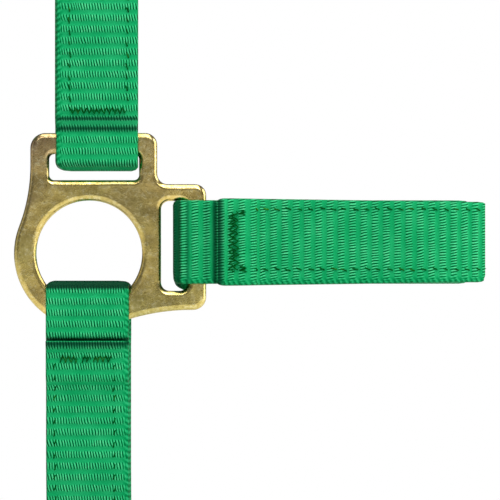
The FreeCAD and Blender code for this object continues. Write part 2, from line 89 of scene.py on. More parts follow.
# Webbing
RIB_PITCH = 2.62
RIB_DEPTH = 0.36
RIB_POWER = 1.4          # above 1 the ribs are narrower than the valleys between them
RIB_SAMPLES = 9
FLOAT_PITCH = 0.63       # the slanting yarns that lie over each rib
RIB_FADE = 0.9           # the ribs fade out over this much beside an edge
SELVAGE = 1.25           # width of the smooth braided edge
SELVAGE_DROP = 0.14      # how far it lies below the ribs' crests
BRAID_PITCH = 1.31
SEALED = 1.2             # how far a heat-sealed end is fused flat and has painted shade
FOLD_SHADE = 2.3         # how far from its outermost place a fold has painted shade
SPACING = RIB_PITCH / RIB_SAMPLES

# Thread
EDGE_THREAD_R, TACK_THREAD_R = 0.17, 0.19
TACK_PROUD = 0.12        # how far zig-zag thread stands out of the webbing
TACK_PITCH = 0.62


# Strap paths: straight runs and bends seen on edge, as in the CAD part

def step(offset, radius=STEP_R):
    angle = math.degrees(math.acos(1 - abs(offset) / (2 * radius)))
    turn = math.copysign(angle, offset)
    return [("bend", radius, turn), ("bend", radius, -turn)]


def step_length(offset, radius=STEP_R):
    return 2 * radius * math.sin(math.acos(1 - abs(offset) / (2 * radius)))


def run(length):
    return [("run", length)]


def bend(radius, degrees):
    return [("bend", radius, degrees)]


def walk(start, heading, moves, spacing):
    """Even samples along a path: points (n, 2), directions (n, 2) and distances along it (n)."""
    lengths = [m[1] if m[0] == "run" else m[1] * math.radians(abs(m[2])) for m in moves]
    total = sum(lengths)
    count = max(2, round(total / spacing)) + 1
    wanted = np.linspace(0, total, count)
    points, ways = np.zeros((count, 2)), np.zeros((count, 2))
    here, angle, done, number = np.array(start, float), math.radians(heading), 0.0, 0
    for order, (move, length) in enumerate(zip(moves, lengths)):
        last = order == len(moves) - 1
        side = np.array([-math.sin(angle), math.cos(angle)])
        ahead = np.array([math.cos(angle), math.sin(angle)])
        if move[0] == "bend":
            sign = math.copysign(1, move[2])
            centre = here + side * move[1] * sign
        while number < count and (wanted[number] < done + length or last):
            gone = wanted[number] - done
            if move[0] == "run":
                points[number], ways[number] = here + ahead * gone, ahead
            else:
                now = angle + sign * gone / move[1]
                points[number] = centre + np.array([math.sin(now), -math.cos(now)]) * move[1] * sign
                ways[number] = [math.cos(now), math.sin(now)]
            number += 1
        if move[0] == "run":
            here = here + ahead * length
        else:
            angle += sign * length / move[1]
            here = centre + np.array([math.sin(angle), -math.cos(angle)]) * move[1] * sign
        done += length
    return points, ways, wanted


def lying(points):
    """(x, y) of a path in a level plane, with the strap's width along Z."""
    return np.column_stack([points, np.zeros(len(points))])


def upright(points):
    """(y, z) of a path in a vertical plane across the head, with the strap's width along X."""
    return np.column_stack([np.zeros(len(points)), points])


def width_axis(plane):
    return np.array([0.0, 0.0, 1.0]) if plane is lying else np.array([1.0, 0.0, 0.0])


def plies(start_z, end_z):
    """The near outer and inner plies of a pair sewn flat together, with the side of each that faces out."""
    outer = walk((-HALF_GAP - LINE_Q, start_z), 90, run(end_z - start_z), SPACING)
    inner = walk((-HALF_GAP + LINE_Q, start_z), 90, run(end_z - start_z), SPACING)
    return (outer, 1), (inner, -1)


def new_object(name, verts, faces, material):
    mesh = bpy.data.meshes.new(name)
    mesh.from_pydata([tuple(v) for v in verts], [], faces)
    mesh.update()
    mesh.polygons.foreach_set("use_smooth", [True] * len(mesh.polygons))
    made = bpy.data.objects.new(name, mesh)
    bpy.context.scene.collection.objects.link(made)
    made.data.materials.append(material)
    return made


def placed(obj, tilt=None, x=0.0, z=0.0):
    """Move a piece drawn in millimetres to its place, tilted about the upper rings' axis if tilt is given."""
    matrix = Matrix.Scale(MM, 4)
    if tilt is not None:
        about = Matrix.Rotation(math.radians(tilt), 4, "Y")
        matrix = matrix @ Matrix.Translation((CHEEK_X, 0, UPPER_RING_Z)) @ about
    else:
        matrix = matrix @ Matrix.Translation((x, 0, z))
    obj.data.transform(matrix)
    obj.data.update()
    return obj


# Webbing

FLAT_COLUMNS = 15
FLAT_REACH = 0.955       # share of the half width that is flat; the rest is the rounded edge
HOLE_COLUMNS = 2         # a hole spans this many columns each side of the middle
HOLE_R = 2.6


def section():
    """Points round a strap's cross-section as (across, through), each from -1 to 1."""
    flat = np.linspace(-FLAT_REACH, FLAT_REACH, FLAT_COLUMNS)
    edge = [(0.985, 0.72), (1.0, 0.0), (0.985, -0.72)]
    top = [(a, 1.0) for a in flat]
    bottom = [(a, -1.0) for a in flat[::-1]]
    left = [(-a, b) for a, b in edge[::-1]]
    return np.array(top + edge + bottom + left)


def rib_height(v):
    """0 in the valley between two ribs, 1 along a rib's crest."""
    return np.abs(np.sin(np.pi * v / RIB_PITCH)) ** RIB_POWER


def fold(axis, extreme, low_corner, high_corner, dark):
    """A tight turn: its outermost place along a path axis, its corner radii and how dark the painted shade
    over it is."""
    return {"axis": axis, "extreme": extreme, "corners": (low_corner, high_corner), "dark": dark}


def crease(axis, at, reach, depth, side, dark):
    """A groove across a strap's left (1) or right (-1) face, with how dark the painted shade at its bottom is.
    """
    return {"axis": axis, "at": at, "reach": reach, "depth": depth, "side": side, "dark": dark}


def webbing(name, node, walked, plane, width=WEB_WIDTH, selvage=-1, flip=False, lips=(), folds=(),
            creases=(), hole=None, drift=None, shift=0.0, thickness=WEB_T, body="head_frame"):
    """A ribbed strap along a path, with rounded edges, one smooth selvage and heat-sealed ends at lips. Painted
    shade darkens the sealed ends, folds, creases and outermost edges.

    selvage is the edge that is smooth, -1, 1 or 0 for neither. flip turns the weave round, and shift moves it
    along. width may be a function of the path's points and distances, and hole and drift are such functions:
    where the strap is open, and how far it moves sideways."""
    points, ways, distance = walked
    v = distance + shift
    sides = np.column_stack([-ways[:, 1], ways[:, 0]])
    ring = section()
    a, b = ring[:, 0], ring[:, 1]
    count, around = len(v), len(ring)
    half = (width(points, distance) if callable(width) else np.full(count, width)) / 2
    plain = np.ones(count)
    thin = np.full(count, thickness / 2)
    sealed_end_shade = np.zeros(count)      # painted shade over a sealed end, but for a thin unshaded line along the very end that stands for its glint
    for end in lips:
        gone = np.abs(distance - distance[end])
        plain = np.minimum(plain, np.clip((gone - SEALED) / 2.0, 0, 1))
        thin = thin * np.sqrt(np.clip(1 - (1 - np.clip(gone / thickness, 0, 1)) ** 2, 0.02, 1))
        sealed_end_shade = np.maximum(sealed_end_shade, np.clip(SEALED + 0.5 - gone, 0, 1) * np.clip(gone / 0.2 - 0.4, 0, 1))
    edge = (1 - np.abs(a)) * half.mean()
    on_selvage = np.clip((SELVAGE - edge) / 0.5 + 0.5, 0, 1) * (a * selvage > 0)
    ribbed = np.clip(edge / RIB_FADE, 0, 1) * (1 - on_selvage)
    down = RIB_DEPTH * (1 - rib_height(v))[:, None] * ribbed[None, :] * plain[:, None]
    down = down + SELVAGE_DROP * on_selvage[None, :]
    # painted shade over sealed ends, and along the outermost rounded edges that turn away from the light
    dark = np.maximum(0.95 * sealed_end_shade[:, None], 0.4 * (np.abs(a) > 0.97)[None, :])
    for groove in creases:
        gap = (points[:, groove["axis"]] - groove["at"]) / groove["reach"]
        near = np.exp(-gap ** 2)[:, None] * (b * groove["side"] > 0)[None, :]
        down = down + groove["depth"] * near
        # painted shade at the groove's bottom
        dark = np.maximum(dark, near * groove["dark"])
    through = np.sign(b)[None, :] * (np.abs(b)[None, :] * thin[:, None] - down)
    spot = points[:, None, :] + sides[:, None, :] * through[:, :, None]
    across = a[None, :] * half[:, None]
    for turn in folds:
        gap = np.abs(spot[:, :, turn["axis"]] - turn["extreme"])
        for sign, radius in zip((-1, 1), turn["corners"]):
            cut = np.clip(radius - gap, 0, None)
            lost = radius - np.sqrt(np.clip(radius ** 2 - cut ** 2, 0, None))
            across = np.where(a[None, :] * sign > 0, across * (1 - lost / half[:, None]), across)
        # painted shade over a fold, where its surface turns away from the light
        dark = np.maximum(dark, np.clip((FOLD_SHADE - gap) / 0.6, 0, 1) * turn["dark"])
    if drift:
        across = across + drift(points, distance)[:, None]
    verts = plane(spot.reshape(-1, 2)) + across.reshape(-1, 1) * width_axis(plane)
    cut = hole(points, distance) if hole else np.zeros(count, bool)
    faces = strap_faces(count, around, cut[:-1] & cut[1:])
    made = new_object(name, verts, faces, WEBBING)
    weave = np.zeros((count, around, 3))
    weave[:, :, 0] = a[None, :] * half[:, None]
    weave[:, :, 1] = v[:, None] * (-1.0 if flip else 1.0)
    # the weave attribute's third part is painted shade
    weave[:, :, 2] = dark
    layer = made.data.attributes.new("weave", "FLOAT_VECTOR", "POINT")
    layer.data.foreach_set("vector", weave.reshape(-1).astype(np.float32))
    smooth_part = on_selvage[None, :] * np.ones((count, 1))
    layer = made.data.attributes.new("selvage", "FLOAT", "POINT")
    layer.data.foreach_set("value", smooth_part.reshape(-1).astype(np.float32))
    tidy_mesh(made)
    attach(made, body)
    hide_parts(node)
    return made


def strap_faces(count, around, open_rows):
    """Quads round and along a strap, closed at both ends, with walls round the hole in its open rows."""
    middle = FLAT_COLUMNS // 2
    low, high = middle - HOLE_COLUMNS, middle + HOLE_COLUMNS
    opposite = {k: 2 * FLAT_COLUMNS + 2 - k for k in range(FLAT_COLUMNS)}
    faces = []
    for i in range(count - 1):
        here, ahead = i * around, (i + 1) * around
        for k in range(around):
            n = (k + 1) % around
            in_hole = low <= k < high or opposite[high] <= k < opposite[low]
            if not (open_rows[i] and in_hole):
                faces.append((here + k, here + n, ahead + n, ahead + k))
        if open_rows[i]:
            faces.append((here + low, ahead + low, ahead + opposite[low], here + opposite[low]))
            faces.append((here + high, here + opposite[high], ahead + opposite[high], ahead + high))
            for k in range(low, high):
                if i == 0 or not open_rows[i - 1]:
                    faces.append((here + k, here + opposite[k], here + opposite[k + 1], here + k + 1))
                if i == len(open_rows) - 1 or not open_rows[i + 1]:
                    faces.append((ahead + k, ahead + k + 1, ahead + opposite[k + 1], ahead + opposite[k]))
    faces.append(tuple(reversed(range(around))))
    faces.append(tuple((count - 1) * around + k for k in range(around)))
    return faces


def tidy_mesh(made):
    """Drop points that no face uses, and turn every face outwards."""
    mesh = bmesh.new()
    mesh.from_mesh(made.data)
    bmesh.ops.delete(mesh, geom=[v for v in mesh.verts if not v.link_faces], context="VERTS")
    bmesh.ops.recalc_face_normals(mesh, faces=mesh.faces)
    mesh.to_mesh(made.data)
    mesh.free()


# Thread

def new_store():
    return {"verts": [], "faces": []}


def add_tube(store, line, radius, sides=6, closed=False):
    """A round tube along a list of points, tapering at its ends unless it is a closed loop."""
    line = [Vector(p) for p in line]
    start, count = len(store["verts"]), len(line)
    side = None
    for i, p in enumerate(line):
        if closed:
            ahead = (line[(i + 1) % count] - line[i - 1]).normalized()
        else:
            ahead = (line[min(i + 1, count - 1)] - line[max(i - 1, 0)]).normalized()
        side = ahead.orthogonal() if side is None else side - ahead * side.dot(ahead)
        side.normalize()
        other = ahead.cross(side)
        r = radius(i) if callable(radius) else radius * (0.55 if i in (0, count - 1) and not closed else 1.0)
        for k in range(sides):
            angle = 2 * math.pi * k / sides
            store["verts"].append(p + side * (r * math.cos(angle)) + other * (r * math.sin(angle)))
    for i in range(count if closed else count - 1):
        low, high = start + i * sides, start + (i + 1) % count * sides
        for k in range(sides):
            n = (k + 1) % sides
            store["faces"].append((low + k, low + n, high + n, high + k))
    if not closed:
        last = start + (count - 1) * sides
        store["faces"].append(tuple(start + k for k in reversed(range(sides))))
        store["faces"].append(tuple(last + k for k in range(sides)))


def on_strap(walked, plane, v, across, lift):
    """The point at distance v along a path, across from its middle, and lift to the left of it."""
    points, ways, distance = walked
    p = np.array([np.interp(v, distance, points[:, 0]), np.interp(v, distance, points[:, 1])])
    t = np.array([np.interp(v, distance, ways[:, 0]), np.interp(v, distance, ways[:, 1])])
    t = t / np.linalg.norm(t)
    return plane((p + np.array([-t[1], t[0]]) * lift)[None, :])[0] + width_axis(plane) * across


# A lockstitch from end to end: places along its half length, and how far it sinks there
STITCH_SHAPE = ((-1, 0.4), (-0.7, 0.12), (0, -0.02), (0.7, 0.12), (1, 0.4))


def edge_stitches(store, walked, plane, span, rows, side, dice):
    """Lockstitch rows along a strap, on its left (1) or right (-1) face: one slanting stitch for each rib."""
    v = span[0]
    while v < span[1]:
        for row in rows:
            at = v + dice.uniform(-0.25, 0.25)
            across = row + dice.uniform(-0.14, 0.14)
            half = 0.72 + dice.uniform(-0.14, 0.14)
            lean = 0.24 + dice.uniform(-0.1, 0.1)
            line = []
            for part, sunk in STITCH_SHAPE:
                lift = side * (WEB_T / 2 - sunk)
                line.append(on_strap(walked, plane, at + half * part, across - lean * part, lift))
            add_tube(store, line, EDGE_THREAD_R)
        v += RIB_PITCH


def bar_tack(store, walked, plane, v, reach, across_span, pitch, side, dice, radius=TACK_THREAD_R,
             proud=TACK_PROUD):
    """Dense zig-zag stitching across a strap, its middle standing proud of the ribs."""
    across, sign, line = across_span[0], 1, []
    while across <= across_span[1]:
        at = v + sign * (reach + dice.uniform(-0.2, 0.1))
        line.append(on_strap(walked, plane, at, across, side * (WEB_T / 2 + proud - 0.2)))
        middle = across + pitch / 2
        at = v + dice.uniform(-0.25, 0.25)
        line.append(on_strap(walked, plane, at, middle, side * (WEB_T / 2 + proud)))
        across += pitch + dice.uniform(-0.1, 0.1)
        sign = -sign
    add_tube(store, line, radius)


def thread_piece(name, store, body, node, **place):
    made = placed(new_object(name, store["verts"], store["faces"], THREAD), **place)
    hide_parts(node)
    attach(made, body)


# Materials

def srgb(red, green, blue):
    """A display colour, 0 to 255, as linear light."""
    out = []
    for value in (red, green, blue):
        c = value / 255
        out.append(c / 12.92 if c <= 0.04045 else ((c + 0.055) / 1.055) ** 2.4)
    return (*out, 1.0)


class Nodes:
    """Short calls that add and join shader nodes."""

    def __init__(self, name):
        self.material = bpy.data.materials.new(name)
        self.material.use_nodes = True
        self.tree = self.material.node_tree
        self.shader = self.tree.nodes["Principled BSDF"]

    def add(self, kind, **settings):
        node = self.tree.nodes.new(kind)
        for key, value in settings.items():
            setattr(node, key, value)
        return node

    def link(self, out, socket):
        if isinstance(out, (int, float, tuple)):
            socket.default_value = out
        else:
            self.tree.links.new(out, socket)

    def math(self, operation, first, second=0.0, third=None, clamp=False):
        node = self.add("ShaderNodeMath", operation=operation, use_clamp=clamp)
        self.link(first, node.inputs[0])
        self.link(second, node.inputs[1])
        if third is not None:
            self.link(third, node.inputs[2])
        return node.outputs[0]

    def wave(self, distance, pitch):
        """A sine of a distance, from 0 to 1."""
        turn = self.math("MULTIPLY", distance, 2 * math.pi / pitch)
        return self.math("MULTIPLY_ADD", self.math("SINE", turn), 0.5, 0.5)

    def mix(self, share, first, second):
        node = self.add("ShaderNodeMix", data_type="RGBA")
        self.link(share, node.inputs[0])
        self.link(first, node.inputs[6])
        self.link(second, node.inputs[7])
        return node.outputs[2]

    def noise(self, vector, scale, detail=3.0, rough=0.5):
        node = self.add("ShaderNodeTexNoise")
        self.link(vector, node.inputs["Vector"])
        node.inputs["Scale"].default_value = scale
        node.inputs["Detail"].default_value = detail
        node.inputs["Roughness"].default_value = rough
        return node.outputs["Fac"]

    def spread(self, value, low, high, to_low=0.0, to_high=1.0):
        node = self.add("ShaderNodeMapRange", clamp=True)
        self.link(value, node.inputs["Value"])
        for key, number in (("From Min", low), ("From Max", high), ("To Min", to_low), ("To Max", to_high)):
            node.inputs[key].default_value = number
        return node.outputs["Result"]

    def ramp(self, value, stops):
        """Colours by value. The two ends come first in stops, because a new ramp already has them."""
        node = self.add("ShaderNodeValToRGB")
        elements = node.color_ramp.elements
        for number, (position, colour) in enumerate(stops):
            stop = elements[number] if number < 2 else elements.new(position)
            stop.position, stop.color = position, srgb(*colour)
        self.link(value, node.inputs[0])
        return node.outputs[0]

    def bump(self, height, strength, distance):
        node = self.add("ShaderNodeBump")
        node.inputs["Strength"].default_value = strength
        node.inputs["Distance"].default_value = distance
        self.link(height, node.inputs["Height"])
        return node.outputs["Normal"]


# Webbing colours from the deepest gaps' painted shade to the lightest fibres' painted highlight, the two ends
# first
GREENS = ((0.0, (0, 66, 30)), (1.0, (124, 236, 172)), (0.25, (0, 110, 56)), (0.5, (16, 157, 92)),
          (0.75, (58, 197, 130)))
# The colour that painted shade darkens the webbing towards, at folds, creases, edges and sealed ends
PAINTED_SHADE_GREEN = (0, 40, 24)


def webbing_material():
    """Heavy ribbed nylon: slanting yarns show over each rib, with painted highlight on them and painted shade
    in the gaps between them, and the valleys are smooth.
    """
    n = Nodes("green_webbing")
    weave = n.add("ShaderNodeAttribute", attribute_name="weave").outputs["Vector"]
    plain = n.add("ShaderNodeAttribute", attribute_name="selvage").outputs["Fac"]
    parts = n.add("ShaderNodeSeparateXYZ")
    n.link(weave, parts.inputs[0])
    across, along, painted_shade = parts.outputs[0], parts.outputs[1], parts.outputs[2]
    fibre = n.noise(weave, 4.5, 4.0, 0.65)
    patch = n.noise(weave, 0.16, 2.0)
    uneven = n.noise(weave, 0.5, 2.0, 0.6)
    moved = n.math("MULTIPLY_ADD", n.math("SUBTRACT", n.noise(weave, 0.3, 1.0), 0.5), 0.7, across)
    jitter = n.math("MULTIPLY_ADD", n.math("SUBTRACT", n.noise(weave, 1.4, 1.0), 0.5), 0.7, along)
    crest = n.math("SUBTRACT", 1.0, n.wave(n.math("ADD", jitter, RIB_PITCH / 4), RIB_PITCH))
    yarn = n.wave(n.math("MULTIPLY_ADD", along, 0.17, moved), FLOAT_PITCH)
    over = n.spread(crest, 0.2, 0.6)
    strength = n.math("MULTIPLY", over, n.spread(uneven, 0.25, 0.75, 0.6, 1.3))
    # painted highlight on the slanting yarns
    light = n.math("MULTIPLY", n.spread(yarn, 0.4, 0.85), strength)
    # painted shade in the gaps between the yarns
    gap = n.math("MULTIPLY", n.spread(yarn, 0.5, 0.1), strength)
    ribs = n.math("MULTIPLY_ADD", light, 0.25, 0.53)
    ribs = n.math("SUBTRACT", ribs, n.math("MULTIPLY", gap, 0.48))
    braid = n.wave(n.math("MULTIPLY_ADD", n.math("ABSOLUTE", across), 0.6, jitter), BRAID_PITCH)
    band = n.math("MULTIPLY_ADD", braid, 0.34, 0.28)
    tone = n.add("ShaderNodeMix", data_type="FLOAT")
    for source, socket in ((plain, 0), (ribs, 2), (band, 3)):
        n.link(source, tone.inputs[socket])
    value = n.math("MULTIPLY_ADD", n.math("SUBTRACT", fibre, 0.5), 0.3, tone.outputs[0])
    value = n.math("MULTIPLY_ADD", n.math("SUBTRACT", patch, 0.5), 0.2, value, clamp=True)
    # painted shade from the weave attribute darkens the colour here
    colour = n.mix(n.math("MULTIPLY", painted_shade, 0.95), n.ramp(value, GREENS), srgb(*PAINTED_SHADE_GREEN))
    n.link(colour, n.shader.inputs["Base Color"])
    n.shader.inputs["Roughness"].default_value = 0.4
    n.shader.inputs["Specular IOR Level"].default_value = 0.1
    n.shader.inputs["Specular Tint"].default_value = (0.1, 1.0, 0.45, 1.0)
    height = n.math("MULTIPLY_ADD", fibre, 0.4, n.math("MULTIPLY", yarn, over))
    n.link(n.bump(height, 0.8, 0.00012), n.shader.inputs["Normal"])
    return n.material


def thread_material():
    """Dark bonded thread, twisted, with lighter yellow-green stretches."""
    n = Nodes("dark_thread")
    place = n.add("ShaderNodeTexCoord").outputs["Object"]
    strand = n.noise(place, 2600.0, 2.0)
    patch = n.noise(place, 160.0, 2.0)
    colour = n.mix(n.spread(strand, 0.35, 0.7), srgb(0, 62, 16), srgb(2, 106, 40))
    colour = n.mix(n.spread(patch, 0.58, 0.72, 0.0, 0.7), colour, srgb(60, 136, 20))
    n.link(colour, n.shader.inputs["Base Color"])
    n.shader.inputs["Roughness"].default_value = 0.6
    n.shader.inputs["Specular IOR Level"].default_value = 0.02
    n.link(n.bump(strand, 0.5, 0.00008), n.shader.inputs["Normal"])
    return n.material


def plated_material(name, gold, olive, violet, roughness, corner=None):
    """Yellow plating: large clouds of gold, olive and violet-brown, with fine dark speckle, light speckle that
    is painted glints, and faint waves.

    With a corner, in metres up and back across the piece, it turns violet past it and gold below it."""
    n = Nodes(name)
    place = n.add("ShaderNodeTexCoord").outputs["Object"]
    wide = n.noise(place, 38.0, 2.0, 0.5)
    cloud = n.noise(place, 75.0, 4.0, 0.6)
    blotch = n.noise(place, 150.0, 5.0, 0.7)
    speckle = n.noise(place, 1300.0, 3.0, 0.7)
    waves = n.noise(place, 150.0, 1.0)
    colour = n.mix(n.spread(cloud, 0.3, 0.7), srgb(*gold), srgb(*olive))
    violet_share = n.math("ADD", n.spread(blotch, 0.5, 0.8, 0.0, 0.3), n.spread(wide, 0.48, 0.66, 0.0, 0.5))
    if corner:
        parts = n.add("ShaderNodeSeparateXYZ")
        n.link(place, parts.inputs[0])
        up_and_back = n.math("SUBTRACT", parts.outputs[2], parts.outputs[0])
        uneven = n.math("MULTIPLY_ADD", n.math("SUBTRACT", blotch, 0.5), 0.02, up_and_back)
        behind, below = n.spread(parts.outputs[0], 0.002, -0.008), n.spread(uneven, corner - 0.01, 0.0)
        low = n.math("MULTIPLY", behind, below)
        colour = n.mix(n.math("MULTIPLY", low, 0.7), colour, srgb(*gold))
        violet_share = n.math("MULTIPLY_ADD", n.spread(uneven, corner - 0.008, corner + 0.012), 0.75,
                              n.math("MULTIPLY", violet_share, n.math("SUBTRACT", 1.0, low)))
    colour = n.mix(violet_share, colour, srgb(*violet))
    # light speckle: painted glints
    colour = n.mix(n.spread(speckle, 0.5, 0.75, 0.0, 0.6), colour, srgb(255, 246, 196))
    colour = n.mix(n.spread(speckle, 0.45, 0.3, 0.0, 0.35), colour, srgb(96, 78, 40))
    n.link(colour, n.shader.inputs["Base Color"])
    n.shader.inputs["Metallic"].default_value = 1.0
    n.link(n.spread(blotch, 0.3, 0.75, roughness - 0.04, roughness + 0.06), n.shader.inputs["Roughness"])
    fine = n.math("ADD", n.math("MULTIPLY", speckle, 0.4), n.math("MULTIPLY", waves, 6.0))
    n.link(n.bump(fine, 0.5, 0.00012), n.shader.inputs["Normal"])
    return n.material


def steel_material():
    n = Nodes("spring_wire")
    place = n.add("ShaderNodeTexCoord").outputs["Object"]
    drawn = n.noise(place, 900.0, 3.0)
    n.link(n.mix(drawn, srgb(150, 150, 148), srgb(205, 204, 200)), n.shader.inputs["Base Color"])
    n.shader.inputs["Metallic"].default_value = 1.0
    n.link(n.spread(drawn, 0.3, 0.7, 0.22, 0.4), n.shader.inputs["Roughness"])
    return n.material


WEBBING = webbing_material()
THREAD = thread_material()
STAMPING = plated_material("plated_stamping", (230, 200, 116), (184, 174, 100), (166, 138, 112), 0.26, 0.028)
WIRE = plated_material("plated_wire", (222, 198, 126), (200, 184, 118), (184, 156, 128), 0.22)
CASTING = plated_material("plated_casting", (216, 192, 122), (190, 176, 112), (180, 152, 128), 0.28)
STEEL = steel_material()


# Noseband

TURN_SHIFT = TURN_R - LINE_Q
TURN_STEP = step_length(TURN_SHIFT)
FOLD_OUT = TURN_R + WEB_T / 2
NOSE_TURN_X, NOSE_CLEAR_X, NOSE_RETURN_X, NOSE_BEND_X = 22.6, 27.6, 36.0, 73.6
NOSE_LAP_X = 29.7        # the overlay's end, whose corners are round
NOSE_CORNER_R = 1.9


def nose_width(points, distance):
    """The overlay is bunched up beside the plate, and narrower further forward."""
    x = points[:, 0]
    corner = np.clip((NOSE_LAP_X + NOSE_CORNER_R - x) / NOSE_CORNER_R, 0, 1)
    return 20.3 - 1.5 * np.clip((x - 33.0) / 55.0, 0, 1) - 1.6 * (1 - np.sqrt(1 - 0.97 * corner ** 2))


def nose_drift(points, distance):
    """The inner ply slips down behind the plate's front bar and comes back under the overlay."""
    inner = np.clip((HALF_GAP - np.abs(points[:, 1])) / 1.2, 0, 1) * (np.abs(points[:, 1]) > 38.0)
    sag = 1.5 * np.clip((points[:, 0] - 19.0) / 3.0, 0, 1)
    return -sag * np.clip((27.5 - points[:, 0]) / 3.5, 0, 1) * inner


def noseband():
    liner_half = (run(NOSE_RETURN_X - NOSE_CLEAR_X - TURN_STEP) + step(TURN_SHIFT)
                  + run(NOSE_CLEAR_X - NOSE_TURN_X) + bend(TURN_R, -180) + run(NOSE_CLEAR_X - NOSE_TURN_X)
                  + step(-TURN_SHIFT) + run(NOSE_BEND_X - NOSE_CLEAR_X - TURN_STEP)
                  + bend(HALF_GAP - LINE_Q, 90))
    liner = walk((NOSE_RETURN_X, -HALF_GAP - LINE_Q), 180, liner_half + liner_half[::-1], SPACING)
    lap_q = LINE_Q + WEB_T + 6 * PLY_GAP
    ease_x, drop, rise = NOSE_RETURN_X + 0.3, lap_q - LINE_Q, 0.8
    lip_length = step_length(rise)
    overlay_half = (step(rise) + run(ease_x - NOSE_LAP_X - lip_length) + step(drop)
                    + run(NOSE_BEND_X - ease_x - step_length(drop)) + bend(HALF_GAP + LINE_Q, 90))
    overlay = walk((NOSE_LAP_X, -HALF_GAP - lap_q - rise), 0, overlay_half + overlay_half[::-1], SPACING)
    # the fold carries painted shade
    turned = [fold(0, NOSE_TURN_X - FOLD_OUT, 1.6, 1.1, 0.85)]
    # grooves with painted shade in them, the last in the crease beside the overlay's lip
    creases = [crease(0, 22.9, 0.45, 0.12, 1, 0.6), crease(0, 27.3, 0.4, 0.08, 1, 0.4),
               crease(0, 29.0, 0.5, 0.1, 1, 0.9)]
    placed(webbing("noseband_liner_webbing", "noseband_liner", liner, lying, WEB_WIDTH + 0.4, folds=turned,
                   creases=creases, drift=nose_drift), z=NOSE_Z)
    placed(webbing("noseband_overlay_webbing", "noseband_overlay", overlay, lying, nose_width, flip=True,
                   lips=(0, -1), shift=0.6), z=NOSE_Z)
    inside_run = run(NOSE_BEND_X - NOSE_CLEAR_X - TURN_STEP)
    inside = walk((NOSE_CLEAR_X + TURN_STEP, -HALF_GAP + LINE_Q), 0,
                  inside_run + bend(HALF_GAP - LINE_Q, 180) + inside_run, SPACING)
    dice = random.Random(3)
    store = new_store()
    end, inside_end = overlay[2][-1], inside[2][-1]
    rows = (-6.3, 7.7)
    edge_stitches(store, overlay, lying, (9.2, end - 9.2), rows, -1, dice)
    edge_stitches(store, inside, lying, (7.0, inside_end - 7.0), rows, 1, dice)
    for v, sign in ((3.8, 1), (end - 3.8, -1)):
        bar_tack(store, overlay, lying, v - sign * 0.2, 0.8, (-6.9, 7.0), 0.66, -1, dice)
        bar_tack(store, overlay, lying, v + sign * 0.7, 0.7, (-6.5, 6.8), 0.84, -1, dice)
        bar_tack(store, overlay, lying, v + sign * 2.4, 0.9, (-6.9, -5.6), 0.45, -1, dice)
        bar_tack(store, overlay, lying, v + sign * 2.2, 0.8, (6.3, 7.2), 0.45, -1, dice)
    for v in (3.0, inside_end - 3.0):
        bar_tack(store, inside, lying, v, 1.0, (-6.9, 7.0), TACK_PITCH, 1, dice)
    thread_piece("noseband_thread", store, "head_frame", "noseband_stitching", z=NOSE_Z)


# Cheek straps

CHEEK_TURN_Z, CHEEK_CLEAR_Z, CHEEK_SEAM_Z = 22.3, 28.3, 76.0
RING_SHIFT = RING_TURN_R - LINE_Q
RING_CLEAR_S = UPPER_RING_R + WIRE_R + 0.3
RING_EASE_S = RING_CLEAR_S + step_length(RING_SHIFT)


def ring_turn():
    """Up to an upper ring: out, round the wire and back. A strap on the ring's other side does the same."""
    return (step(RING_SHIFT) + run(RING_CLEAR_S - RING_TURN_S) + bend(RING_TURN_R, -180)
            + run(RING_CLEAR_S - RING_TURN_S) + step(-RING_SHIFT))


def inner_ply(points, gap):
    """Sideways slip of the ply that lies inside a plate, as 0 on the outer ply and gap on the inner."""
    return gap * np.clip((HALF_GAP - np.abs(points[:, 0])) / 1.5 + 0.5, 0, 1)


def cheek_drift(points, distance):
    return inner_ply(points, -0.4)


def mirrored(piece):
    """Turn a near piece's mesh into its far twin, through the middle plane."""
    piece.data.transform(Matrix.Scale(-1, 4, (0, 1, 0)))
    piece.data.flip_normals()
    piece.data.update()


